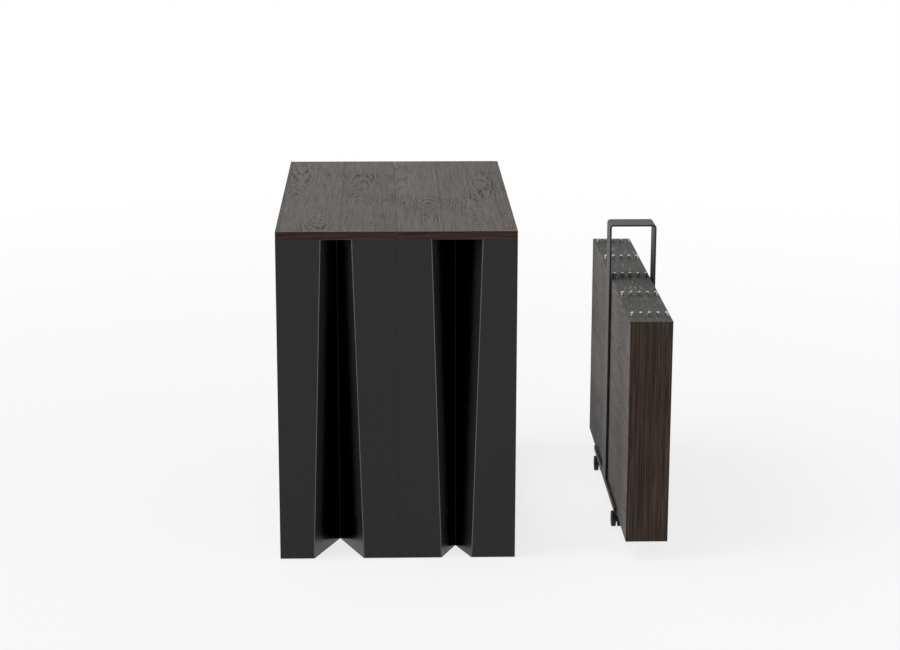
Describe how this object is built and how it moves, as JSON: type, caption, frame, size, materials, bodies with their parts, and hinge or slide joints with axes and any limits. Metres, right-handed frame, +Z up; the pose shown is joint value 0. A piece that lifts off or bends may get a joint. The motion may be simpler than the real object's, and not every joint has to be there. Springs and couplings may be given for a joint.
{
  "type": "extending console table with leaf trolley",
  "caption": "Console table with pleated sheet-metal legs whose halves draw apart on telescopic runners, beside a rolling trolley holding its loose leaves.",
  "frame": {"origin": "floor point under the middle of the closed table, on the seam between its halves", "axes": "+X along the extension towards the leaf trolley, +Y from the front to the back, +Z up"},
  "size_m": [0.8994, 0.929, 0.77],
  "materials": {
    "oak_board": "matt dark grey-brown oak foil with grain along the depth",
    "anthracite_sheet": "satin anthracite powder coat",
    "anthracite_bracket": "satin anthracite powder coat",
    "pin_steel": "bright turned steel",
    "nylon_glide": "black nylon",
    "runner_aluminium": "anodised extrusion",
    "tie_steel": "black painted steel bar",
    "carrier_paint": "satin dark grey powder coat",
    "caster_tread": "black wheel",
    "caster_housing": "black moulded hood",
    "zinc_hardware": "zinc plated steel"
  },
  "bodies": {
    "right_half": {"right_top": "oak_board", "right_front_panel": "anthracite_sheet", "right_side_panel": "anthracite_sheet", "right_rear_panel": "anthracite_sheet", "right_brackets": "anthracite_bracket", "right_glides": "nylon_glide", "right_end_rails": "runner_aluminium", "seam_pins": "pin_steel", "latch_pivots": "zinc_hardware"},
    "left_half": {"left_top": "oak_board", "left_front_panel": "anthracite_sheet", "left_side_panel": "anthracite_sheet", "left_rear_panel": "anthracite_sheet", "left_brackets": "anthracite_bracket", "left_glides": "nylon_glide", "left_end_rails": "runner_aluminium", "latch_keepers": "zinc_hardware"},
    "runner_stage_1": {"runner_stage_1": "runner_aluminium", "runner_tie_1": "tie_steel"},
    "runner_stage_2": {"runner_stage_2": "runner_aluminium", "runner_tie_2": "tie_steel"},
    "runner_stage_3": {"runner_stage_3": "runner_aluminium", "runner_tie_3": "tie_steel"},
    "runner_stage_4": {"runner_stage_4": "runner_aluminium", "runner_tie_4": "tie_steel"},
    "runner_stage_5": {"runner_stage_5": "runner_aluminium", "runner_tie_5": "tie_steel"},
    "runner_stage_6": {"runner_stage_6": "runner_aluminium", "runner_tie_6": "tie_steel"},
    "front_latch": {"front_latch": "zinc_hardware"},
    "rear_latch": {"rear_latch": "zinc_hardware"},
    "carrier": {"carrier_tray": "carrier_paint", "carrier_band": "carrier_paint", "caster_stems": "zinc_hardware"},
    "leaf_1": {"leaf_1": "oak_board", "leaf_1_pins": "pin_steel"},
    "leaf_2": {"leaf_2": "oak_board", "leaf_2_pins": "pin_steel"},
    "leaf_3": {"leaf_3": "oak_board", "leaf_3_pins": "pin_steel"},
    "leaf_4": {"leaf_4": "oak_board", "leaf_4_pins": "pin_steel"},
    "leaf_5": {"leaf_5": "oak_board", "leaf_5_pins": "pin_steel"},
    "front_left_swivel": {"front_left_caster_housing": "caster_housing", "front_left_caster_axle": "zinc_hardware"},
    "front_left_wheels": {"front_left_caster_wheels": "caster_tread"},
    "front_right_swivel": {"front_right_caster_housing": "caster_housing", "front_right_caster_axle": "zinc_hardware"},
    "front_right_wheels": {"front_right_caster_wheels": "caster_tread"},
    "rear_left_swivel": {"rear_left_caster_housing": "caster_housing", "rear_left_caster_axle": "zinc_hardware"},
    "rear_left_wheels": {"rear_left_caster_wheels": "caster_tread"},
    "rear_right_swivel": {"rear_right_caster_housing": "caster_housing", "rear_right_caster_axle": "zinc_hardware"},
    "rear_right_wheels": {"rear_right_caster_wheels": "caster_tread"}
  },
  "joints": [
    {"name": "table_extension", "type": "slide", "parent": "right_half", "child": "left_half", "axis": [-1, 0, 0], "range_m": [0, 2.6]},
    {"name": "runner_stage_1_slide", "type": "slide", "parent": "right_half", "child": "runner_stage_1", "axis": [-1, 0, 0], "range_m": [0, 0.3724]},
    {"name": "runner_stage_2_slide", "type": "slide", "parent": "right_half", "child": "runner_stage_2", "axis": [-1, 0, 0], "range_m": [0, 0.7439]},
    {"name": "runner_stage_3_slide", "type": "slide", "parent": "right_half", "child": "runner_stage_3", "axis": [-1, 0, 0], "range_m": [0, 1.1153]},
    {"name": "runner_stage_4_slide", "type": "slide", "parent": "right_half", "child": "runner_stage_4", "axis": [-1, 0, 0], "range_m": [0, 1.4867]},
    {"name": "runner_stage_5_slide", "type": "slide", "parent": "right_half", "child": "runner_stage_5", "axis": [-1, 0, 0], "range_m": [0, 1.8581]},
    {"name": "runner_stage_6_slide", "type": "slide", "parent": "right_half", "child": "runner_stage_6", "axis": [-1, 0, 0], "range_m": [0, 2.2296]},
    {"name": "front_latch_swing", "type": "hinge", "parent": "right_half", "child": "front_latch", "pos_m": [0.022, -0.33, 0.7475], "axis": [0, 0, -1], "range_deg": [0, 90]},
    {"name": "rear_latch_swing", "type": "hinge", "parent": "right_half", "child": "rear_latch", "pos_m": [0.022, 0.33, 0.7475], "axis": [0, 0, 1], "range_deg": [0, 90]},
    {"name": "carrier_roll", "type": "slide", "parent": "right_half", "child": "carrier", "axis": [0, -1, 0], "range_m": [-0.6, 0.6]},
    {"name": "leaf_1_draw", "type": "slide", "parent": "carrier", "child": "leaf_1", "axis": [0, -1, 0], "range_m": [0, 0.9]},
    {"name": "leaf_2_draw", "type": "slide", "parent": "carrier", "child": "leaf_2", "axis": [0, -1, 0], "range_m": [0, 0.9]},
    {"name": "leaf_3_draw", "type": "slide", "parent": "carrier", "child": "leaf_3", "axis": [0, -1, 0], "range_m": [0, 0.9]},
    {"name": "leaf_4_draw", "type": "slide", "parent": "carrier", "child": "leaf_4", "axis": [0, -1, 0], "range_m": [0, 0.9]},
    {"name": "leaf_5_draw", "type": "slide", "parent": "carrier", "child": "leaf_5", "axis": [0, -1, 0], "range_m": [0, 0.9]},
    {"name": "front_left_swivel_turn", "type": "hinge", "parent": "carrier", "child": "front_left_swivel", "pos_m": [0.527, -0.246, 0.038], "axis": [0, 0, 1], "continuous": true},
    {"name": "front_left_wheel_spin", "type": "hinge", "parent": "front_left_swivel", "child": "front_left_wheels", "pos_m": [0.527, -0.236, 0.0175], "axis": [1, 0, 0], "continuous": true},
    {"name": "front_right_swivel_turn", "type": "hinge", "parent": "carrier", "child": "front_right_swivel", "pos_m": [0.617, -0.246, 0.038], "axis": [0, 0, 1], "continuous": true},
    {"name": "front_right_wheel_spin", "type": "hinge", "parent": "front_right_swivel", "child": "front_right_wheels", "pos_m": [0.617, -0.236, 0.0175], "axis": [1, 0, 0], "continuous": true},
    {"name": "rear_left_swivel_turn", "type": "hinge", "parent": "carrier", "child": "rear_left_swivel", "pos_m": [0.527, 0.188, 0.038], "axis": [0, 0, 1], "continuous": true},
    {"name": "rear_left_wheel_spin", "type": "hinge", "parent": "rear_left_swivel", "child": "rear_left_wheels", "pos_m": [0.527, 0.198, 0.0175], "axis": [1, 0, 0], "continuous": true},
    {"name": "rear_right_swivel_turn", "type": "hinge", "parent": "carrier", "child": "rear_right_swivel", "pos_m": [0.617, 0.188, 0.038], "axis": [0, 0, 1], "continuous": true},
    {"name": "rear_right_wheel_spin", "type": "hinge", "parent": "rear_right_swivel", "child": "rear_right_wheels", "pos_m": [0.617, 0.198, 0.0175], "axis": [1, 0, 0], "continuous": true}
  ],
  "couplings": [
    {"joint": "runner_stage_1_slide", "follows": "table_extension", "ratio": 0.14286},
    {"joint": "runner_stage_2_slide", "follows": "table_extension", "ratio": 0.28571},
    {"joint": "runner_stage_3_slide", "follows": "table_extension", "ratio": 0.42857},
    {"joint": "runner_stage_4_slide", "follows": "table_extension", "ratio": 0.57143},
    {"joint": "runner_stage_5_slide", "follows": "table_extension", "ratio": 0.71429},
    {"joint": "runner_stage_6_slide", "follows": "table_extension", "ratio": 0.85714}
  ]
}
